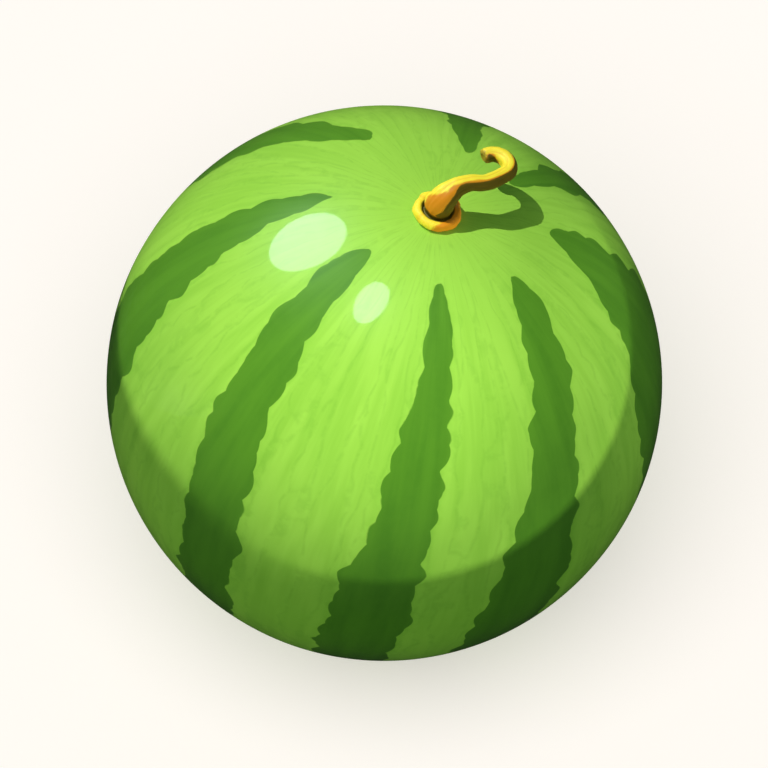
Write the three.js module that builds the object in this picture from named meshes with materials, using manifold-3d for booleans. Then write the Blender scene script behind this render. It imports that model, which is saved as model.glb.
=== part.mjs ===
// A whole round watermelon that leans a little on its flat spot, with its dry, curled stem.
// Millimetres, +Z up. The origin is the middle of the flat spot that the fruit rests on.
// Everything is made about the fruit's own axis, from blossom end to stem, and then leaned over with it.
import * as THREE from "three";
import { mergeVertices } from "three/addons/utils/BufferGeometryUtils.js";
import Module from "manifold-3d";

// The fruit
const melonRadius = 125;
const leanDegrees = 10.2; // the stem leans this far from upright, towards +X
const flatSpotRadius = 16; // wide enough that the fruit doesn't roll on a slope of 7 degrees
const sides = 72;
const fineStepDegrees = 1.5; // between rings near the two ends
const coarseStepDegrees = 4;
const fineZoneDegrees = 18; // reaches past the flat spot

// The shallow hollow round the stem and the blossom scar at the other end
const stemHollow = { depth: 1.2, spread: 14 };
const blossomScar = { depth: 0.8, spread: 3.5 };

// The stem, measured along its own length from the skin
const rootDepth = 5;
const rootRadius = 5.5;
const growingGap = 0.3; // between the stem and the fruit that it grew from
const ringMiddleRadius = 8.2;
const ringThickness = 4.4;
const ringArc = { startDegrees: -125, endDegrees: 150, steps: 9 }; // from under the ring, out and over it
const neckRadius = 6.5;
const stalkRadius = 3.7;
const tipRadius = 3.3;
const neckLength = 21; // over which the neck narrows to the stalk
const tipRounding = 2.6;
const ribCount = 5;
const ribHeight = 0.05; // as a share of the radius
const stemSides = 20;
const stemStepLength = 1.6;
const routeSteps = 240;

// The stem's route, from the pole of the fruit: x and y across the skin, z out of it
const riseHeight = 5;
const elbow = [new THREE.Vector3(1.3, 0.2, 10.2), new THREE.Vector3(5.6, 2.9, 13.9)];
const stalkRun = [new THREE.Vector3(11.4, 5, 15.2), new THREE.Vector3(18, 6.6, 14.7)];
const hook = {
  middleX: 21.2,
  middleY: 19.9,
  startDegrees: -62,
  endDegrees: 124,
  startRadius: 8.8,
  endRadius: 5.6,
  startHeight: 13.5,
  endHeight: 9.8,
  points: 7,
};

const wasm = await Module();
wasm.setup();

const degrees = THREE.MathUtils.degToRad;
const mix = THREE.MathUtils.lerp;

// How high the fruit's middle stands once its flat spot is on the ground.
const middleHeight = Math.sqrt(melonRadius ** 2 - flatSpotRadius ** 2);

// The fruit's radius at a polar angle from the stem, with its two dents.
function skinRadius(angle) {
  const fromStem = angle * melonRadius;
  const fromBlossom = (Math.PI - angle) * melonRadius;
  const dent = ({ depth, spread }, away) => depth * Math.exp(-0.5 * (away / spread) ** 2);
  return melonRadius - dent(stemHollow, fromStem) - dent(blossomScar, fromBlossom);
}

// The skin's height at a distance from the stem's axis, counted from the pole of a plain ball.
function skinHeight(away) {
  const angle = Math.asin(away / melonRadius);
  return skinRadius(angle) * Math.cos(angle) - melonRadius;
}

// A lathe geometry turned so that its axis is Z.
function latheAboutZ(profile, segments) {
  const flipped = profile.map(([radius, height]) => new THREE.Vector2(radius, height));
  return new THREE.LatheGeometry(flipped, segments).rotateX(Math.PI / 2);
}

// The polar angles of the fruit's rings: close together near the ends, where the skin is dented.
function ringAngles(first) {
  const angles = [];
  let angle = first;
  while (angle < Math.PI) {
    angles.push(angle);
    const fromEnd = Math.min(angle, Math.PI - angle);
    const fine = fromEnd < degrees(fineZoneDegrees);
    angle += degrees(fine ? fineStepDegrees : coarseStepDegrees);
  }
  return angles;
}

// The fruit before its flat spot: one turned body with the socket that the stem's root sits in.
function ballGeometry() {
  const socketRadius = rootRadius + growingGap;
  const socketFloor = melonRadius + skinHeight(0) - rootDepth - growingGap;
  const rim = Math.asin(socketRadius / melonRadius);
  const skin = ringAngles(rim).map((angle) => [
    skinRadius(angle) * Math.sin(angle),
    skinRadius(angle) * Math.cos(angle),
  ]);
  skin[0][0] = socketRadius;
  const blossomEnd = [0, -skinRadius(Math.PI)];
  const socket = [
    [socketRadius, socketFloor],
    [0, socketFloor],
  ];
  return latheAboutZ([blossomEnd, ...skin.reverse(), ...socket], sides);
}

// A block whose top is the ground, in the fruit's leaning frame.
function groundGeometry(leaning) {
  const size = 4 * melonRadius;
  const block = new THREE.BoxGeometry(size, size, size).translate(0, 0, -size / 2);
  return block.applyMatrix4(leaning.clone().invert());
}

function toSolid(geometry) {
  const bare = geometry.clone();
  bare.deleteAttribute("normal");
  bare.deleteAttribute("uv");
  const merged = mergeVertices(bare, 1e-4);
  return new wasm.Manifold(
    new wasm.Mesh({
      numProp: 3,
      vertProperties: merged.attributes.position.array,
      triVerts: new Uint32Array(merged.index.array),
    }),
  );
}

function toGeometry(solid) {
  const mesh = solid.getMesh();
  return new THREE.BufferGeometry()
    .setAttribute("position", new THREE.BufferAttribute(mesh.vertProperties, 3))
    .setIndex(new THREE.BufferAttribute(mesh.triVerts, 1));
}

// The stem's middle line: straight out of the fruit, over the elbow, along the stalk and round the hook.
function stemRoute() {
  const points = [
    new THREE.Vector3(0, 0, skinHeight(0) - rootDepth),
    new THREE.Vector3(0, 0, 0),
    new THREE.Vector3(0, 0, riseHeight),
    ...elbow,
    ...stalkRun,
  ];
  for (let i = 0; i < hook.points; i++) {
    const share = i / (hook.points - 1);
    const angle = degrees(mix(hook.startDegrees, hook.endDegrees, share));
    const radius = mix(hook.startRadius, hook.endRadius, share);
    points.push(
      new THREE.Vector3(
        hook.middleX + radius * Math.cos(angle),
        hook.middleY + radius * Math.sin(angle),
        mix(hook.startHeight, hook.endHeight, share),
      ),
    );
  }
  return new THREE.CatmullRomCurve3(points, false, "centripetal");
}

// The stalk's radius at a length from the skin: a wide neck that narrows and a round tip.
function stalkRadiusAt(along, whole) {
  const narrowing = THREE.MathUtils.smoothstep(along, 0, neckLength);
  const body = mix(neckRadius, mix(stalkRadius, tipRadius, along / whole), narrowing);
  const toTip = Math.min(1, (whole - along) / tipRounding);
  return body * Math.sqrt(1 - (1 - toTip) ** 2);
}

// The stem drawn straight, as [radius, height over the root's foot]: root, foot ring, neck, stalk, tip.
function straightStemProfile(length) {
  const skin = rootDepth; // the skin's own level, counted from the root's foot
  const ringHalf = ringThickness / 2;
  const ringMiddle = skin + growingGap + ringHalf - (skinHeight(0) - skinHeight(ringMiddleRadius));
  const profile = [
    [0, 0],
    [rootRadius, 0],
    [rootRadius, skin],
  ];
  for (let i = 0; i <= ringArc.steps; i++) {
    const angle = degrees(mix(ringArc.startDegrees, ringArc.endDegrees, i / ringArc.steps));
    profile.push([ringMiddleRadius + ringHalf * Math.cos(angle), ringMiddle + ringHalf * Math.sin(angle)]);
  }
  const stalkStart = ringMiddle + ringHalf;
  const stalk = length - stalkStart;
  const steps = Math.round(stalk / stemStepLength);
  for (let i = 0; i < steps; i++) {
    const along = (stalk * i) / steps;
    profile.push([stalkRadiusAt(along, stalk), stalkStart + along]);
  }
  profile.push([0, length]);
  return profile;
}

// The straight stem bent along its route, each ring square to it, with ribs on the neck and the stalk.
function stemGeometry() {
  const route = stemRoute();
  const length = route.getLength();
  const geometry = latheAboutZ(straightStemProfile(length), stemSides);
  const frames = route.computeFrenetFrames(routeSteps, false);
  const position = geometry.attributes.position;
  const ribsStart = rootDepth + ringThickness;
  const point = new THREE.Vector3();
  for (let i = 0; i < position.count; i++) {
    point.fromBufferAttribute(position, i);
    const share = THREE.MathUtils.clamp(point.z / length, 0, 1);
    const centre = route.getPointAt(share);
    const frame = Math.round(share * routeSteps);
    const round = Math.atan2(point.y, point.x);
    const ribbed = point.z > ribsStart ? 1 + ribHeight * Math.cos(ribCount * round) : 1;
    centre.addScaledVector(frames.normals[frame], point.x * ribbed);
    centre.addScaledVector(frames.binormals[frame], point.y * ribbed);
    position.setXYZ(i, centre.x, centre.y, centre.z);
  }
  return geometry;
}

const rindMaterial = new THREE.MeshStandardMaterial({ color: 0x9fdc4c, roughness: 0.3, metalness: 0 });
const stemMaterial = new THREE.MeshStandardMaterial({ color: 0xf0c232, roughness: 0.55, metalness: 0 });

const watermelon = new THREE.Group();
watermelon.rotation.y = degrees(leanDegrees);
watermelon.position.z = middleHeight;
watermelon.updateMatrix();

const ground = toSolid(groundGeometry(watermelon.matrix));
const melonBody = new THREE.Mesh(toGeometry(toSolid(ballGeometry()).subtract(ground)), rindMaterial);
melonBody.name = "melon_body";
watermelon.add(melonBody);

const stem = new THREE.Mesh(stemGeometry(), stemMaterial);
stem.name = "stem";
stem.position.z = melonRadius;
watermelon.add(stem);

const part = new THREE.Group();
part.add(watermelon);

export default part;
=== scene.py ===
# A whole round watermelon on its flat spot, with its dry curled stem, on a pale floor.
# Metres, +Z up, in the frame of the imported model. The fruit's own details are in millimetres.
from math import atan2, cos, exp, pi, radians, sin, sqrt

import bmesh
import bpy
import numpy as np
from mathutils import Matrix, Vector, noise


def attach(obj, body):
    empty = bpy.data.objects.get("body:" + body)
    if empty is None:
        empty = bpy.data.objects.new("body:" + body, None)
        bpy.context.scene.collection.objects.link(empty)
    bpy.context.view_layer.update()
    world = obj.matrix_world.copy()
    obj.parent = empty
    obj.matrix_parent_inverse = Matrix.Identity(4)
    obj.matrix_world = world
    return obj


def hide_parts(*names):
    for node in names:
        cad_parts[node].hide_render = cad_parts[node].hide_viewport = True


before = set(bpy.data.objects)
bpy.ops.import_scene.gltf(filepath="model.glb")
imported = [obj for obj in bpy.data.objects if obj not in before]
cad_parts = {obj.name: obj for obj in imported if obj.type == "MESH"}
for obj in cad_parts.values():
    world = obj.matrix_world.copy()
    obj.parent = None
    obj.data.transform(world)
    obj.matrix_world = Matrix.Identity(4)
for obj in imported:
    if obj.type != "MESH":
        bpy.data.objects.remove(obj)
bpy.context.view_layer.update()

# The fruit's own axes: its middle stands over the flat spot, and its stem end leans towards +X.
fruit = dict(
    radius=0.125,
    lean=radians(10.2),
    flatSpotRadius=0.016,
    hollow=dict(depth=0.0012, spread=0.014),  # round the stem
    scar=dict(depth=0.0008, spread=0.0035),  # at the blossom end
)
fruitMiddle = Vector((0, 0, sqrt(fruit["radius"] ** 2 - fruit["flatSpotRadius"] ** 2)))
fruitTurn = Matrix.Rotation(fruit["lean"], 3, "Y")
perMetre = 1000  # millimetres


def fromFruit(point):  # from the fruit's own axes to the frame's
    return fruitMiddle + fruitTurn @ point


def towards(azimuth, elevation):  # azimuth 0 lies in front, at -Y, and 90 to the right
    turned, raised = radians(azimuth), radians(elevation)
    return Vector((sin(turned) * cos(raised), -cos(turned) * cos(raised), sin(raised)))


def mix(first, second, share):
    return first + (second - first) * share


# Shader maths. A Wire is one output socket, and sums on it add Math nodes.
class Wire:
    def __init__(self, paint, socket):
        self.paint = paint
        self.socket = socket

    def math(self, operation, *terms):
        return self.paint.node("Math", {"operation": operation}, dict(enumerate(terms)))

    def __add__(self, other):
        return self.math("ADD", self, other)

    def __sub__(self, other):
        return self.math("SUBTRACT", self, other)

    def __rsub__(self, other):
        return self.math("SUBTRACT", other, self)

    def __mul__(self, other):
        return self.math("MULTIPLY", self, other)

    def __truediv__(self, other):
        return self.math("DIVIDE", self, other)

    def __rtruediv__(self, other):
        return self.math("DIVIDE", other, self)

    __radd__ = __add__
    __rmul__ = __mul__


class Paint:  # the nodes of one material, or of the sky
    def __init__(self, holder):
        self.holder = holder
        holder.use_nodes = True
        self.tree = holder.node_tree
        self.tree.nodes.clear()

    def node(self, kind, settings, inputs, output=0):
        made = self.tree.nodes.new("ShaderNode" + kind)
        for key, value in settings.items():
            setattr(made, key, value)
        for key, value in inputs.items():
            if isinstance(value, Wire):
                self.tree.links.new(value.socket, made.inputs[key])
            else:
                made.inputs[key].default_value = value
        return None if output is None else Wire(self, made.outputs[output])

    def finish(self, shader, kind="OutputMaterial"):
        self.node(kind, {}, {"Surface": shader}, None)
        return self.holder

    def attribute(self, name, output="Fac"):
        return self.node("Attribute", {"attribute_name": name}, {}, output)

    def blend(self, share, first, second):  # of two colours
        return self.node("Mix", {"data_type": "RGBA"}, {0: share, 6: first, 7: second}, 2)

    def rise(self, value, low, high, start=0.0, end=1.0):  # from start to end as value goes from low to high
        inputs = {"Value": value, "From Min": low, "From Max": high, "To Min": start, "To Max": end}
        return self.node("MapRange", {"interpolation_type": "SMOOTHSTEP"}, inputs)

    def cloud(self, place, scale, detail, roughness=0.5):
        inputs = {"Vector": place, "Scale": scale, "Detail": detail, "Roughness": roughness}
        return self.node("TexNoise", {}, inputs)

    def cells(self, place, scale, feature="F1"):
        return self.node("TexVoronoi", {"feature": feature}, {"Vector": place, "Scale": scale})

    def bump(self, height, strength):  # height in metres
        return self.node("Bump", {}, {"Strength": strength, "Distance": 1.0, "Height": height})

    def vector(self, x, y, z):
        return self.node("CombineXYZ", {}, {0: x, 1: y, 2: z})

    def parts(self, place):
        split = self.node("SeparateXYZ", {}, {0: place})
        return [Wire(self, output) for output in split.socket.node.outputs]


def uneven(pattern):  # a pattern from 0 to 1 as a swing to both sides of 0
    return pattern - 0.5


def colour(red, green, blue):  # from display values of 0 to 255
    def linear(value):
        share = value / 255
        return share / 12.92 if share <= 0.04045 else ((share + 0.055) / 1.055) ** 2.4

    return (linear(red), linear(green), linear(blue), 1.0)


# Camera: a long lens from the front and above, with the fruit's middle where the picture has it.
camera = dict(
    lens=150,
    sensor=36,
    distance=1.44375,
    elevation=54.3,
    offsetRight=0.25,  # of the fruit's middle from the picture's, in pixels
    offsetUp=0.9,
    frameSide=768,
)


def makeCamera():
    data = bpy.data.cameras.new("camera")
    data.lens = camera["lens"]
    data.sensor_width = camera["sensor"]
    data.shift_x = -camera["offsetRight"] / camera["frameSide"]
    data.shift_y = -camera["offsetUp"] / camera["frameSide"]
    made = bpy.data.objects.new("camera", data)
    bpy.context.scene.collection.objects.link(made)
    back = towards(0, camera["elevation"])
    made.location = fruitMiddle + back * camera["distance"]
    made.rotation_euler = back.to_track_quat("Z", "Y").to_euler()
    bpy.context.scene.camera = made
    print("camera made")


makeCamera()


# Rind: a ball with a shallow hollow round the stem, a blossom scar and a soft-edged flat spot.
rind = dict(
    cuts=118,  # of each side of the cube that the ball is blown up from
    swellHeight=0.0002,  # slow unevenness of the skin, in metres
    swellLength=0.055,
    swellInward=0.5,  # so that the skin stays inside the solid
    flatSpotSoftness=0.0004,
    sheetMargin=0.01,  # round each side of the cube on its flat sheet, as a share of the side
    # Each dark stripe runs from its tip near the stem to the blossom end. A line's rows are the angle from
    # the stem, the bearing round the stem and the stripe's width as a share of the turn, all in degrees.
    # Bearing 0 is the side that the fruit leans to, and -90 the front.
    stripes=dict(
        frontLeft=dict(
            tip=15.5,
            line=[(20, -143.2, 14.5), (40, -138.7, 15), (60, -133.4, 14.8), (90, -128, 14)],
        ),
        front=dict(
            tip=15.5,
            line=[(20, -86.8, 11), (40, -88.5, 12.4), (60, -91, 13.4), (80, -93, 15), (100, -93.5, 16.5)],
        ),
        frontRight=dict(
            tip=18.7,
            line=[(20, -36.5, 13), (30, -42.6, 16), (50, -53.2, 13.5), (70, -58, 16), (90, -61, 19)],
        ),
        right=dict(
            tip=24,
            line=[(25, 5, 10), (35, 1, 19.5), (45, -2, 25), (55, -4, 33), (65, -7.5, 36), (80, -10, 29)],
        ),
        backRight=dict(
            tip=20,
            line=[(30, 38.5, 10), (36, 39, 13), (90, 32, 14)],
        ),
        back=dict(
            tip=20.5,
            line=[(22, 70, 10), (35, 76, 13), (90, 80, 13)],
        ),
        backLeft=dict(
            tip=25,
            line=[(27, 121, 13), (35, 128.5, 15), (50, 135.5, 16.5), (60, 141, 18), (90, 140, 16)],
        ),
        left=dict(
            tip=20,
            line=[(22, 169.5, 8), (35, 176, 13.5), (55, 181, 15.5), (75, 183.5, 20)],
        ),
    ),
    stripeRounding=7.5,  # degrees over which a stripe's end closes
    stripeEnd=163,
    # The stripes' ragged edges, in millimetres: round lobes, small ones between them and a slow wave
    lobes=dict(length=11.5, depth=6.6),
    smallLobes=dict(length=5, depth=0.5),
    wave=dict(length=30, depth=3.5),
    # Faint patterns of the skin. The streaks change fast round the fruit and slowly down it.
    streakRun=dict(around=60, down=0.16),
    streaks=dict(scale=0.22, detail=3, roughness=0.55),
    patches=dict(scale=1 / 34, detail=3),
    grain=dict(scale=1 / 4.5, detail=2, roughness=0.6),
    veins=dict(scale=0.17, sway=(5, 3), amount=0.28),
    haloAmount=0.5,
    # The pale spot that the fruit lay on, with how ragged its edge is in metres, and the scar's edge in degrees
    lying=dict(amount=0.85, patchy=0.05, lobed=0.01),
    scarUneven=1.2,
    poreScale=1 / 1.5,
    colours=dict(
        light=colour(164, 218, 80),
        lightDeep=colour(148, 205, 69),
        dark=colour(91, 147, 39),
        darkDeep=colour(79, 134, 34),
        vein=colour(122, 184, 57),
        halo=colour(134, 195, 60),
        ground=colour(236, 226, 142),
        groundDeep=colour(214, 206, 110),
        cork=colour(170, 140, 84),
    ),
    # Where each look sets in and where it is full, and what it goes from and to if that isn't 0 and 1
    rises=dict(
        ragged=(18, 48, 0.4, 1),  # degrees from the stem
        stripe=(-0.22, 0.22),  # millimetres inside the stripe
        streaky=(8, 40, 0.25, 1),
        lightStreaks=(0.35, 0.7),
        lightPatches=(0.3, 0.7, 0, 0.35),
        vein=(0, 0.1, 1, 0),
        veinGaps=(0.3, 0.6),
        halo=(-4, 0, 0, 0.6),
        haloGaps=(0.25, 0.7),
        darkStreaks=(0.3, 0.72),
        darkGrain=(0.35, 0.75, 0, 0.25),
        lying=(0.044, 0.072, 1, 0),  # metres from the middle of the flat spot
        groundTone=(0.35, 0.65),
        cork=(177.6, 178.6),
        roughness=(0.2, 0.8, 0.34, 0.46),
    ),
    roughnessGrain=0.5,
    bumps=dict(grain=0.00004, pores=0.00002, stripes=0.00003),
    bumpStrength=0.6,
    gloss={"Specular IOR Level": 0.16, "Coat Weight": 0.4, "Coat Roughness": 0.05, "Coat IOR": 1.5},
)


def skinRadius(polar):  # at an angle from the stem, in radians
    hollow, scar = fruit["hollow"], fruit["scar"]
    fromStem = polar * fruit["radius"] / hollow["spread"]
    fromScar = (pi - polar) * fruit["radius"] / scar["spread"]
    dents = hollow["depth"] * np.exp(-0.5 * fromStem**2) + scar["depth"] * np.exp(-0.5 * fromScar**2)
    return fruit["radius"] - dents


def stripeDepth(polar, bearing):  # how far inside the nearest stripe's plain outline, in millimetres
    radius = perMetre * fruit["radius"]
    around = radius * np.sin(polar)
    down = np.degrees(polar)
    depth = np.full(len(polar), -100.0)  # outside by far
    for stripe in rind["stripes"].values():
        angles, bearings, widths = np.array(stripe["line"]).T
        aside = (np.degrees(bearing) - np.interp(down, angles, bearings) + 180) % 360 - 180
        half = np.radians(np.interp(down, angles, widths)) / 2 * around
        fromTip = np.minimum(down - stripe["tip"], rind["stripeEnd"] - down)
        closing = np.clip(fromTip / rind["stripeRounding"], 0, 1)
        fromSide = half * np.sqrt(1 - (1 - closing) ** 2) - np.abs(np.radians(aside)) * around
        depth = np.maximum(depth, np.minimum(fromSide, np.radians(fromTip) * radius))
    return depth


def sheetPlaces(cube, sides):  # where the cube's corners lie on a flat sheet, three sides to a row
    margin = rind["sheetMargin"]
    rows = np.arange(len(cube))

    def place(number, count, axis):
        share = mix(margin, 1 - margin, cube[rows, axis] / 2 + 0.5)
        return (number + share) / count

    across = np.where(sides // 2 == 0, 1, 0)
    up = np.where(sides // 2 == 2, 1, 2)
    return np.column_stack([place(sides % 3, 3, across), place(sides // 3, 2, up)])


def makeRind():
    bm = bmesh.new()
    bmesh.ops.create_cube(bm, size=2)
    bmesh.ops.subdivide_edges(bm, edges=bm.edges, cuts=rind["cuts"], use_grid_fill=True)
    mesh = bpy.data.meshes.new("melon_rind")
    bm.to_mesh(mesh)
    bm.free()

    cube = np.empty(len(mesh.vertices) * 3)
    mesh.vertices.foreach_get("co", cube)
    cube = cube.reshape(-1, 3)

    # The sheet that a painted copy of the rind would use
    normals = np.empty(len(mesh.polygons) * 3)
    mesh.polygons.foreach_get("normal", normals)
    normals = normals.reshape(-1, 3)
    axis = np.abs(normals).argmax(axis=1)
    side = axis * 2 + (normals[np.arange(len(axis)), axis] > 0)
    corners = np.empty(len(mesh.loops), dtype=int)
    mesh.loops.foreach_get("vertex_index", corners)
    sheet = sheetPlaces(cube[corners], np.repeat(side, 4))
    mesh.uv_layers.new(name="OFBake").data.foreach_set("uv", sheet.ravel())

    # The cube blown up to the fruit, in the fruit's own axes
    ball = np.tan(cube * pi / 4)
    ball /= np.linalg.norm(ball, axis=1)[:, None]
    polar = np.arccos(np.clip(ball[:, 2], -1, 1))
    bearing = np.arctan2(ball[:, 1], ball[:, 0])
    swell = np.array([noise.noise(Vector(place) * fruit["radius"] / rind["swellLength"]) for place in ball])
    skin = ball * (skinRadius(polar) + rind["swellHeight"] * (swell - rind["swellInward"]))[:, None]
    placed = skin @ np.array(fruitTurn).T + np.array(fruitMiddle)
    height = placed[:, 2]
    placed[:, 2] = (height + np.sqrt(height**2 + rind["flatSpotSoftness"] ** 2)) / 2
    mesh.vertices.foreach_set("co", placed.ravel())

    marks = dict(stripeDepth=stripeDepth(polar, bearing), fromStem=np.degrees(polar))
    for name, values in marks.items():
        mesh.attributes.new(name, "FLOAT", "POINT").data.foreach_set("value", values)
    mesh.polygons.foreach_set("use_smooth", np.ones(len(mesh.polygons), dtype=bool))
    mesh.update()

    piece = bpy.data.objects.new("melon_rind", mesh)
    bpy.context.scene.collection.objects.link(piece)
    piece.data.materials.append(rindPaint())
    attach(piece, "root")
    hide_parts("melon_body")
    print("rind made,", len(mesh.polygons), "faces")


def rindPaint():
    colours, rises = rind["colours"], rind["rises"]
    paint = Paint(bpy.data.materials.new("melon rind"))
    place = paint.node("TexCoord", {}, {}, "Object")
    ownAxes = {
        "Vector": place,
        "Location": fruitMiddle,
        "Rotation": (0, fruit["lean"], 0),
        "Scale": [1 / perMetre] * 3,
    }
    own = paint.node("Mapping", {"vector_type": "TEXTURE"}, ownAxes)  # millimetres in the fruit's own axes
    fromStem = paint.attribute("fromStem")
    depth = paint.attribute("stripeDepth")

    # Scalloped edges, less ragged near the stem
    lobes = paint.cells(own, 1 / rind["lobes"]["length"])
    smallLobes = paint.cells(own, 1 / rind["smallLobes"]["length"])
    wave = paint.cloud(own, 1 / rind["wave"]["length"], 1)
    ragged = (0.5 - lobes) * rind["lobes"]["depth"] + (0.5 - smallLobes) * rind["smallLobes"]["depth"]
    ragged = ragged + uneven(wave) * rind["wave"]["depth"]
    inside = depth + ragged * paint.rise(fromStem, *rises["ragged"])
    stripe = paint.rise(inside, *rises["stripe"])

    # Long faint streaks that run from stem to blossom end
    x, y = paint.parts(own)[:2]
    across = paint.node("Math", {"operation": "SQRT"}, {0: x * x + y * y + 1})  # never 0
    around, down = rind["streakRun"]["around"], rind["streakRun"]["down"]
    run = paint.vector(x / across * around, y / across * around, fromStem * down)
    streaks = paint.cloud(run, **rind["streaks"])
    patches = paint.cloud(own, **rind["patches"])
    grain = paint.cloud(own, **rind["grain"])

    streaky = paint.rise(streaks, *rises["lightStreaks"]) * paint.rise(fromStem, *rises["streaky"])
    light = paint.blend(streaky, colours["light"], colours["lightDeep"])
    light = paint.blend(paint.rise(patches, *rises["lightPatches"]), light, colours["lightDeep"])
    veins = rind["veins"]
    sway = paint.vector(wave * veins["sway"][0], lobes * veins["sway"][1], 0)
    swayed = paint.node("VectorMath", {"operation": "ADD"}, {0: run, 1: sway})
    veinLine = paint.cells(swayed, veins["scale"], "DISTANCE_TO_EDGE")
    vein = paint.rise(veinLine, *rises["vein"]) * paint.rise(grain, *rises["veinGaps"])
    light = paint.blend(vein * veins["amount"], light, colours["vein"])
    halo = paint.rise(inside, *rises["halo"]) * paint.rise(grain, *rises["haloGaps"])
    light = paint.blend(halo * rind["haloAmount"], light, colours["halo"])

    dark = paint.blend(paint.rise(streaks, *rises["darkStreaks"]), colours["dark"], colours["darkDeep"])
    dark = paint.blend(paint.rise(grain, *rises["darkGrain"]), dark, colours["dark"])
    base = paint.blend(stripe, light, dark)

    # The pale spot that the fruit lay on, and the corky scar at the blossom end
    lying = rind["lying"]
    away = paint.node("VectorMath", {"operation": "LENGTH"}, {0: place}, "Value")
    away = away + uneven(patches) * lying["patchy"] + uneven(lobes) * lying["lobed"]
    ground = paint.blend(paint.rise(patches, *rises["groundTone"]), colours["ground"], colours["groundDeep"])
    base = paint.blend(paint.rise(away, *rises["lying"]) * lying["amount"], base, ground)
    corky = paint.rise(fromStem + uneven(grain) * rind["scarUneven"], *rises["cork"])
    base = paint.blend(corky, base, colours["cork"])

    # Fine pores and a waxy, slightly uneven gloss
    bumps = rind["bumps"]
    pores = paint.cells(own, rind["poreScale"], "SMOOTH_F1")
    height = grain * bumps["grain"] + pores * bumps["pores"] + stripe * bumps["stripes"]
    inputs = {
        "Base Color": base,
        "Roughness": paint.rise(patches + uneven(grain) * rind["roughnessGrain"], *rises["roughness"]),
        "Normal": paint.bump(height, rind["bumpStrength"]),
        **rind["gloss"],
    }
    return paint.finish(paint.node("BsdfPrincipled", {}, inputs))


makeRind()


# Stem: a root in the fruit, a swollen foot ring, a neck that narrows to the stalk, and a curled blunt end.
# Its profile is drawn straight, in millimetres, and swept along the route.
stem = dict(
    rootDepth=5,
    rootRadius=5.5,
    rootFoot=dict(share=0.7, rounding=0.8),
    rootTop=0.5,  # below the skin
    sunk=0.35,  # how deep the foot ring sits in the skin
    # The ring's and the groove's crease values say where the crease gets painted shade
    ring=dict(middle=8.2, thickness=4.4, start=-125, end=170, steps=24, creaseShade=(95, 140)),
    groove=dict(radius=5.1, belowRing=1.5, floor=0.2, neckStart=0.7, creaseShade=(0.3, 2.2)),
    neckRadius=6.5,
    neckPinch=dict(depth=0.9, length=2.2, middle=-0.6),  # the neck is narrower where it leaves the ring
    stalkRadius=3.7,
    tipRadius=3.3,
    neckLength=21,
    # The blunt end. The rows say how wide and how deep its hollow is, as shares of the tip and of the hollow
    tip=dict(rounding=1.9, share=0.62, hollow=0.5, rows=[(0.8, 0.2), (0.5, 1), (0, 0.8)]),
    centre=0.01,  # radius at both ends, so small that they close when doubles are merged
    mergeWithin=0.00002,  # metres
    step=0.5,
    sides=84,
    ribs=5,
    ribHeight=0.11,  # a share of the radius, as the heights of the knobs and the fibres are
    ribHeightOnFoot=0.35,  # as a share of that on the stalk
    ribGrowth=4,  # millimetres over which the ribs grow, from the ring up
    ribShape=0.7,  # below 1 the ribs are round and the furrows narrow
    ribMiddle=0.7,  # what of a rib's height lies under the plain stalk's skin
    knobs=[(0.21, 0.05), (0.55, 0.025)],  # rows of how close together and how high
    fibres=dict(around=5, along=0.07, height=0.03),
    reliefFade=1,  # millimetres on both sides of the skin over which all this sets in
    twist=radians(70),
    turn=radians(12),
    # The route from the pole of the fruit: x and y across the skin, z out of it
    start=[
        (0, 0, -6.2),
        (0, 0, 0),
        (0, 0, 5),
        (1.3, 0.2, 10.2),
        (5.6, 2.9, 13.9),
        (11.4, 5, 15.2),
        (18, 6.6, 14.7),
    ],
    hook=dict(x=21.2, y=19.9, angles=(-62, 124), radii=(8.8, 5.6), heights=(13.5, 9.8), points=7),
    stepsPerSpan=24,
    # Straw is the stem's own colour; its orange and olive are painted shade
    colours=dict(
        straw=colour(255, 238, 60),
        strawDeep=colour(255, 222, 48),
        shadeOrange=colour(232, 145, 23),
        shadeOlive=colour(80, 75, 9),
        tip=colour(150, 118, 40),
    ),
    shadeDirection=(0.72, -0.42, -0.55),  # the side turned away from the key light, painted olive and orange as painted shade
    underDirection=(-0.1, -0.75, -0.66),  # and the lower front, painted orange as painted shade
    ringOutward=0.7,  # how much the ring's painted shade is set as if it were a plain tube
    ringFade=0.6,  # millimetres over which that ends at the ring's top
    # Where each stretch of the stem sets in, in millimetres along it
    zones=dict(
        foot=(9, 11),
        neck=(11, 15),
        midNeck=(11.5, 14),
        midNeckEnd=(20, 25, 1, 0),
        stalk=(17, 24),
        overNeck=(19, 27),
    ),
    # How squarely the skin has to face a direction to take on its painted shade colour: on the ring, and what
    # zones add
    borders=dict(
        shadedLowerFront=(1.2, dict(foot=-1.2, neck=-0.3, overNeck=1.1)),
        besideShade=(0.2, dict(foot=-0.1, midNeck=-0.35, stalk=-0.3)),
        shadeOlive=(0.95, dict(foot=-0.75, midNeck=0.2, stalk=-0.25)),
    ),
    rises=dict(
        straw=(0.35, 0.7),
        furrowShade=(0.6, 1, 0, 0.3),
        shadeOrange=(-0.08, 0.1),
        shadeOlive=(-0.06, 0.06, 0, 0.95),
        creaseShade=(0.2, 0.9, 0, 0.95),
        roughness=(0.3, 0.7, 0.42, 0.62),
    ),
    fibreLook=dict(around=1.6, along=0.12, roughness=0.6),
    strandLook=dict(around=3, along=0.25, roughness=0.65),
    blotches=dict(scale=0.22, detail=3, roughness=0.55),
    borderUneven=dict(fibre=0.3, blotch=0.2),
    tipStain=dict(start=1.6, full=0.4, uneven=2, amount=0.8),  # millimetres before the end
    bumps=dict(strands=0.00012, blotches=0.0001),
    bumpStrength=0.7,
    gloss={"Specular IOR Level": 0.35},
)


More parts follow.
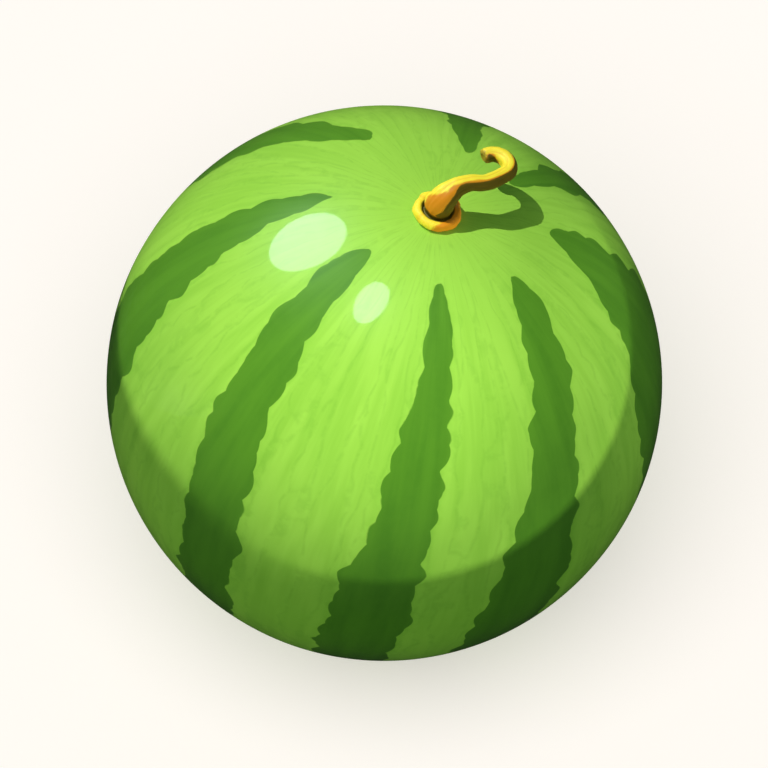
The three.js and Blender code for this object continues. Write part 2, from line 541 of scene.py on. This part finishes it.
def routePoints():
    hook = stem["hook"]
    points = [Vector(point) for point in stem["start"]]
    for i in range(hook["points"]):
        share = i / (hook["points"] - 1)
        angle = radians(mix(*hook["angles"], share))
        reach = mix(*hook["radii"], share)
        height = mix(*hook["heights"], share)
        points.append(Vector((hook["x"] + reach * cos(angle), hook["y"] + reach * sin(angle), height)))
    return points


def smoothLine(points):  # a centripetal curve through the points
    ends = [2 * points[0] - points[1], *points, 2 * points[-1] - points[-2]]
    line = []
    for before, start, end, after in zip(ends, ends[1:], ends[2:], ends[3:]):
        gaps = [sqrt((b - a).length) for a, b in ((before, start), (start, end), (end, after))]
        leaving = (start - before) / gaps[0] - (end - before) / (gaps[0] + gaps[1]) + (end - start) / gaps[1]
        arriving = (end - start) / gaps[1] - (after - start) / (gaps[1] + gaps[2]) + (after - end) / gaps[2]
        leaving, arriving = leaving * gaps[1], arriving * gaps[1]
        for i in range(stem["stepsPerSpan"]):
            t = i / stem["stepsPerSpan"]
            line.append(
                start * (2 * t**3 - 3 * t**2 + 1)
                + leaving * (t**3 - 2 * t**2 + t)
                + end * (3 * t**2 - 2 * t**3)
                + arriving * (t**3 - t**2)
            )
    return [*line, points[-1]]


class Sweep:  # the route with its length and a frame that doesn't spin along it
    def __init__(self):
        self.line = smoothLine(routePoints())
        self.lengths = [0.0]
        for a, b in zip(self.line, self.line[1:]):
            self.lengths.append(self.lengths[-1] + (b - a).length)
        self.length = self.lengths[-1]
        side = Vector((0, -1, 0))
        self.frames = []
        for i in range(len(self.line)):
            heading = (self.line[min(i + 1, len(self.line) - 1)] - self.line[max(i - 1, 0)]).normalized()
            side = (side - heading * side.dot(heading)).normalized()
            self.frames.append((side, heading.cross(side), heading))

    def at(self, along):  # the place and the frame at a length
        i = min(max(int(np.searchsorted(self.lengths, along)), 1), len(self.line) - 1)
        share = (along - self.lengths[i - 1]) / (self.lengths[i] - self.lengths[i - 1])
        place = self.line[i - 1].lerp(self.line[i], share)
        return place, [a.lerp(b, share).normalized() for a, b in zip(self.frames[i - 1], self.frames[i])]


def smooth(value, low, high):
    share = min(max((value - low) / (high - low), 0), 1)
    return share * share * (3 - 2 * share)


def quarterRound(share):  # from 0 to 1 along a quarter of a circle
    return sqrt(1 - (1 - share) ** 2)


def stemProfile(length):  # rows of radius, length from the root's foot, and how much painted shade its crease gets
    ring, groove, pinch, tip = stem["ring"], stem["groove"], stem["neckPinch"], stem["tip"]
    half = ring["thickness"] / 2
    middle = stem["rootDepth"] + half - stem["sunk"]
    rows = [
        (stem["centre"], 0, 0),
        (stem["rootRadius"] * stem["rootFoot"]["share"], 0, 0),
        (stem["rootRadius"], stem["rootFoot"]["rounding"], 0),
        (stem["rootRadius"], stem["rootDepth"] - stem["rootTop"], 0),
    ]
    for i in range(ring["steps"] + 1):
        angle = mix(ring["start"], ring["end"], i / ring["steps"])
        out, up = half * cos(radians(angle)), half * sin(radians(angle))
        rows.append((ring["middle"] + out, middle + up, smooth(angle, *ring["creaseShade"])))
    bottom = middle + half - groove["belowRing"]
    rows.append(((groove["radius"] + ring["middle"] - half) / 2, bottom, 1))
    rows.append((groove["radius"], bottom + groove["floor"], 1))
    start = bottom + groove["neckStart"]
    steps = round((length - start) / stem["step"])
    for i in range(steps + 1):
        along = mix(start, length, i / steps)
        fromRing = along - middle - half
        stalk = mix(stem["stalkRadius"], stem["tipRadius"], along / length)
        radius = mix(stem["neckRadius"], stalk, smooth(fromRing, 0, stem["neckLength"]))
        fromPinch = max(fromRing - pinch["middle"], 0) / pinch["length"]
        radius -= pinch["depth"] * exp(-(fromPinch**2))
        toTip = min(1, (length - along) / tip["rounding"])
        radius *= mix(tip["share"], 1, quarterRound(toTip))
        rows.append((radius, along, 1 - smooth(fromRing, *groove["creaseShade"])))
    for width, depth in tip["rows"]:
        rows.append((max(radius * width, stem["centre"]), length - tip["hollow"] * depth, 0))
    return rows


def makeStem():
    sweep = Sweep()
    profile = stemProfile(sweep.length)
    bm = bmesh.new()
    around = bm.verts.layers.float.new("around")
    row = bm.verts.layers.int.new("row")
    straight = bm.verts.layers.float_vector.new("straight")
    names = ("shadeSide", "underSide", "furrowShade", "creaseShade")
    details = {name: bm.verts.layers.float.new(name) for name in names}
    for vert in bmesh.ops.create_circle(bm, cap_ends=False, segments=stem["sides"], radius=1)["verts"]:
        vert[around] = atan2(vert.co.y, vert.co.x)
    edges = list(bm.edges)
    for i in range(1, len(profile)):
        grown = bmesh.ops.extrude_edge_only(bm, edges=edges)["geom"]
        edges = [item for item in grown if isinstance(item, bmesh.types.BMEdge)]
        for item in grown:
            if isinstance(item, bmesh.types.BMVert):
                item[row] = i

    shade = Vector(stem["shadeDirection"]).normalized()
    under = Vector(stem["underDirection"]).normalized()
    pole = Vector((0, 0, perMetre * fruit["radius"]))
    fibres = stem["fibres"]
    skin, ringEnd = stem["rootDepth"], stem["rootDepth"] + stem["ring"]["thickness"]
    fade, reliefFade = stem["ringFade"], stem["reliefFade"]
    for vert in bm.verts:
        i, angle = vert[row], vert[around]
        radius, along, creaseShade = profile[i]
        place, (side, across, heading) = sweep.at(along)
        ahead, behind = profile[min(i + 1, len(profile) - 1)], profile[max(i - 1, 0)]
        facing = Vector((ahead[1] - behind[1], behind[0] - ahead[0])).normalized()
        out = side * cos(angle) + across * sin(angle)
        outward = stem["ringOutward"] * (1 - smooth(along, ringEnd - fade, ringEnd + fade))
        normal = mix(out * facing.x + heading * facing.y, out, outward)
        normal = fruitTurn @ normal.normalized()

        turned = angle + stem["turn"] + stem["twist"] * along / sweep.length
        lobe = abs(cos(stem["ribs"] / 2 * turned))
        onStalk = smooth(along, ringEnd, ringEnd + stem["ribGrowth"])
        ribs = stem["ribHeight"] * mix(stem["ribHeightOnFoot"], 1, onStalk)
        ribs *= lobe ** stem["ribShape"] - stem["ribMiddle"]
        straightPlace = Vector((radius * cos(angle), radius * sin(angle), along))
        knobs = sum(noise.noise(straightPlace * closeness) * height for closeness, height in stem["knobs"])
        strand = Vector((cos(angle), sin(angle), 0)) * fibres["around"]
        strand.z = along * fibres["along"]
        relief = ribs + knobs + noise.noise(strand) * fibres["height"]
        relief *= smooth(along, skin - reliefFade, skin + reliefFade)
        own = place + out * radius * (1 + relief)
        vert.co = fromFruit((own + pole) / perMetre)
        vert[straight] = straightPlace
        # How squarely each point faces the directions that get painted shade
        vert[details["shadeSide"]] = normal.dot(shade)
        vert[details["underSide"]] = normal.dot(under)
        vert[details["furrowShade"]] = 1 - lobe
        vert[details["creaseShade"]] = creaseShade
    bmesh.ops.remove_doubles(bm, verts=bm.verts, dist=stem["mergeWithin"])
    bmesh.ops.recalc_face_normals(bm, faces=bm.faces)

    mesh = bpy.data.meshes.new("melon_stem")
    bm.to_mesh(mesh)
    bm.free()
    mesh.polygons.foreach_set("use_smooth", np.ones(len(mesh.polygons), dtype=bool))
    piece = bpy.data.objects.new("melon_stem", mesh)
    bpy.context.scene.collection.objects.link(piece)
    piece.data.materials.append(stemPaint(sweep.length))
    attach(piece, "root")
    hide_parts("stem")
    print("stem made,", len(mesh.polygons), "faces")


def stemPaint(length):
    colours, rises = stem["colours"], stem["rises"]
    paint = Paint(bpy.data.materials.new("dry stem"))
    straight = paint.attribute("straight", "Vector")
    x, y, along = paint.parts(straight)

    def threads(look):  # a pattern drawn out along the stem
        place = paint.vector(x * look["around"], y * look["around"], along * look["along"])
        return paint.cloud(place, 1, 3, look["roughness"])

    fibre = threads(stem["fibreLook"])
    blotch = paint.cloud(straight, **stem["blotches"])
    wander = uneven(fibre) * stem["borderUneven"]["fibre"] + uneven(blotch) * stem["borderUneven"]["blotch"]
    shade = paint.attribute("shadeSide") + wander
    under = paint.attribute("underSide") + wander
    zones = {name: paint.rise(along, *zone) for name, zone in stem["zones"].items()}
    zones["midNeck"] = zones["midNeck"] * zones["midNeckEnd"]

    def past(facing, border, rise):  # how much of a colour lies past its border
        limit, changes = stem["borders"][border]
        for zone, change in changes.items():
            limit = limit + zones[zone] * change
        return paint.rise(facing - limit, *rises[rise])

    straw = paint.blend(paint.rise(fibre, *rises["straw"]), colours["straw"], colours["strawDeep"])
    # Orange in the furrows between the ribs is painted shade in the grooves
    straw = paint.blend(paint.rise(paint.attribute("furrowShade"), *rises["furrowShade"]), straw, colours["shadeOrange"])
    # Painted shade: orange on the lower front and beside the shaded side, olive on the shaded side
    paintedShadeOrange = {0: past(under, "shadedLowerFront", "shadeOrange"), 1: past(shade, "besideShade", "shadeOrange")}
    base = paint.blend(paint.node("Math", {"operation": "MAXIMUM"}, paintedShadeOrange), straw, colours["shadeOrange"])
    base = paint.blend(past(shade, "shadeOlive", "shadeOlive"), base, colours["shadeOlive"])
    # Olive in the crease between ring and neck is painted shade
    base = paint.blend(paint.rise(paint.attribute("creaseShade"), *rises["creaseShade"]), base, colours["shadeOlive"])
    stain = stem["tipStain"]
    toTip = along + uneven(fibre) * stain["uneven"]
    stained = paint.rise(toTip, length - stain["start"], length - stain["full"])
    base = paint.blend(stained * stain["amount"], base, colours["tip"])

    strands = threads(stem["strandLook"])
    height = strands * stem["bumps"]["strands"] + blotch * stem["bumps"]["blotches"]
    inputs = {
        "Base Color": base,
        "Roughness": paint.rise(strands, *rises["roughness"]),
        "Normal": paint.bump(height, stem["bumpStrength"]),
        **stem["gloss"],
    }
    return paint.finish(paint.node("BsdfPrincipled", {}, inputs))


makeStem()


# Floor: a plain pale ground, as the picture's background is
floor = dict(
    radius=14,
    sides=96,
    colour=colour(217, 205, 208),
    roughness=0.8,
    ownLight=colour(255, 251, 243),  # keeps the fruit's shadow pale
    ownStrength=0.45,
    paintedContactShadow=(0.008, 0.08),  # between these distances from the fruit's foot the own light comes in; nearer in, the dark is a painted contact shadow
)


def makeFloor():
    bm = bmesh.new()
    bmesh.ops.create_circle(bm, cap_ends=True, segments=floor["sides"], radius=floor["radius"])
    mesh = bpy.data.meshes.new("floor")
    bm.to_mesh(mesh)
    bm.free()
    made = bpy.data.objects.new("floor", mesh)
    bpy.context.scene.collection.objects.link(made)
    paint = Paint(bpy.data.materials.new("pale floor"))
    place = paint.node("TexCoord", {}, {}, "Object")
    away = paint.node("VectorMath", {"operation": "LENGTH"}, {0: place}, "Value")
    inputs = {
        "Base Color": floor["colour"],
        "Roughness": floor["roughness"],
        "Specular IOR Level": 0,
        # The floor's own glow fades out near the fruit's foot, a painted contact shadow
        "Emission Color": paint.blend(paint.rise(away, *floor["paintedContactShadow"]), (0, 0, 0, 1), floor["ownLight"]),
        "Emission Strength": floor["ownStrength"],
    }
    material = paint.finish(paint.node("BsdfPrincipled", {}, inputs))
    material.cycles.emission_sampling = "NONE"
    made.data.materials.append(material)
    made.visible_diffuse = False  # so that it doesn't light the fruit from below
    made.visible_glossy = False
    print("floor made")


makeFloor()


# Lights on the fruit. A small key from behind throws the stem's shadow, a low lamp lights the front, a soft
# pool of light comes from the camera's side, and two weak lamps lift the left side and the right rim. Two
# oval lamps are seen only in the waxy skin's gloss. The rims of the cones of the key and the front lamp cross
# the fruit low down, so that its lower edge stays in shade. The floor has a soft light of its own.
ovals = dict(
    distance=1.5,
    brightness=17,
    tint=(0.77, 1, 1),
    lamps=dict(
        bigOval=dict(azimuth=-133.3, elevation=53.1, size=(0.72, 0.64), turn=145.7),
        smallOval=dict(azimuth=-46.9, elevation=83.1, size=(0.478, 0.304), turn=104.1),
    ),
)
cones = dict(
    key=dict(
        azimuth=-118,
        elevation=66,
        distance=2.4,
        halfAngle=2.86,  # of the cone of light
        blend=0,  # how soft the cone's rim is
        aim=(0.0045, 0.0281),  # beside and above the fruit's middle, as the lamp sees it
        radius=0.003,
        glow=0.85,  # what a white face turned to the lamp gives back at the fruit's middle
    ),
    front=dict(
        azimuth=50,
        elevation=-8,
        distance=1.8,
        halfAngle=32.82,
        blend=0,
        aim=(-0.3172, 1.2052),
        radius=0.003,
        glow=0.46,
    ),
    pool=dict(
        azimuth=0,
        elevation=54.3,
        distance=1.6,
        halfAngle=3.7,
        blend=1,
        aim=(-0.002, -0.004),
        radius=0.01,
        glow=0.41,
    ),
    left=dict(
        azimuth=-85,
        elevation=-5,
        distance=1.8,
        halfAngle=8,
        blend=0,
        aim=(0, 0),
        radius=0.2,
        glow=0.12,
    ),
    rim=dict(
        azimuth=75,
        elevation=55,
        distance=1.6,
        halfAngle=3.4,
        blend=1,
        aim=(0.025, -0.08),
        radius=0.01,
        glow=0.24,
    ),
)
floorLight = dict(azimuth=-10, elevation=64, distance=3, spread=60, brightness=0.69)
sky = dict(
    ambientAbove=(0.125, 0.19, 0.12, 1),  # a little greener than the lamps, as the picture's shade is
    ambientBelow=(0.58, 0.74, 0.515, 1),
    nadir=(0.02, 0.02, 0.02, 1),  # straight below, where the floor is in the fruit's own shadow
    nadirSpread=(-1, -0.2),  # how far the nadir's dark reaches up
    mirrored=(0.015, 0.015, 0.015, 1),
    backdrop=colour(255, 251, 243),
)


def placeLamp(name, data, place, aim, turn=0):
    made = bpy.data.objects.new(name, data)
    bpy.context.scene.collection.objects.link(made)
    made.location = place
    heading = aim.to_track_quat("-Z", "Y").to_matrix()
    made.rotation_euler = (heading @ Matrix.Rotation(radians(turn), 3, "Z")).to_euler()
    made.visible_camera = False
    return made


def groupFor(lamp, pieces):  # what the lamp lights, or what shades it
    group = bpy.data.collections.new(lamp.name + " pieces")
    for piece in pieces:
        group.objects.link(piece)
    return group


def shineOnFruit(lamp):  # the lamp lights the fruit alone, and nothing else shades it
    group = groupFor(lamp, [bpy.data.objects["melon_rind"], bpy.data.objects["melon_stem"]])
    lamp.light_linking.receiver_collection = group
    lamp.light_linking.blocker_collection = group


def makeOval(name, oval):
    data = bpy.data.lights.new(name, "AREA")
    data.shape = "ELLIPSE"
    data.size, data.size_y = oval["size"]
    data.energy = ovals["brightness"] * pi**2 * data.size * data.size_y / 4
    data.color = ovals["tint"]
    back = towards(oval["azimuth"], oval["elevation"])
    made = placeLamp(name, data, fruitMiddle + back * ovals["distance"], -back, oval["turn"])
    made.visible_diffuse = False
    shineOnFruit(made)


def makeCone(name, cone):
    data = bpy.data.lights.new(name, "SPOT")
    data.spot_size = 2 * radians(cone["halfAngle"])
    data.spot_blend = cone["blend"]
    data.shadow_soft_size = cone["radius"]
    data.energy = cone["glow"] * (2 * pi * cone["distance"]) ** 2
    back = towards(cone["azimuth"], cone["elevation"])
    across = Vector((0, 0, 1)).cross(back).normalized()
    target = across * cone["aim"][0] + back.cross(across) * cone["aim"][1]
    back = back * cone["distance"]
    made = placeLamp(name, data, fruitMiddle + back, target - back)
    made.visible_glossy = False
    shineOnFruit(made)


def makeFloorLight():
    data = bpy.data.lights.new("floor light", "SUN")
    data.angle = radians(floorLight["spread"])
    back = towards(floorLight["azimuth"], floorLight["elevation"])
    data.energy = floorLight["brightness"] * pi / back.z
    made = placeLamp("floor light", data, back * floorLight["distance"], -back)
    made.visible_glossy = False
    made.light_linking.receiver_collection = groupFor(made, [bpy.data.objects["floor"]])


def makeSky():
    paint = Paint(bpy.data.worlds.new("sky"))

    def shine(name):
        return paint.node("Background", {}, {"Color": sky[name]})

    def choose(share, first, second):
        return paint.node("MixShader", {}, {0: share, 1: first, 2: second})

    heading = paint.parts(paint.node("TexCoord", {}, {}, "Generated"))[2]
    below = choose(paint.rise(heading, *sky["nadirSpread"]), shine("nadir"), shine("ambientBelow"))
    above = paint.node("Math", {"operation": "GREATER_THAN"}, {0: heading, 1: 0})
    ambient = choose(above, below, shine("ambientAbove"))
    light = choose(paint.node("LightPath", {}, {}, "Is Glossy Ray"), ambient, shine("mirrored"))
    light = choose(paint.node("LightPath", {}, {}, "Is Camera Ray"), light, shine("backdrop"))
    bpy.context.scene.world = paint.finish(light, "OutputWorld")


for ovalName, oval in ovals["lamps"].items():
    makeOval(ovalName, oval)
for coneName, cone in cones.items():
    makeCone(coneName, cone)
makeFloorLight()
makeSky()
bpy.context.scene.view_settings.view_transform = "Standard"
print("lights made")
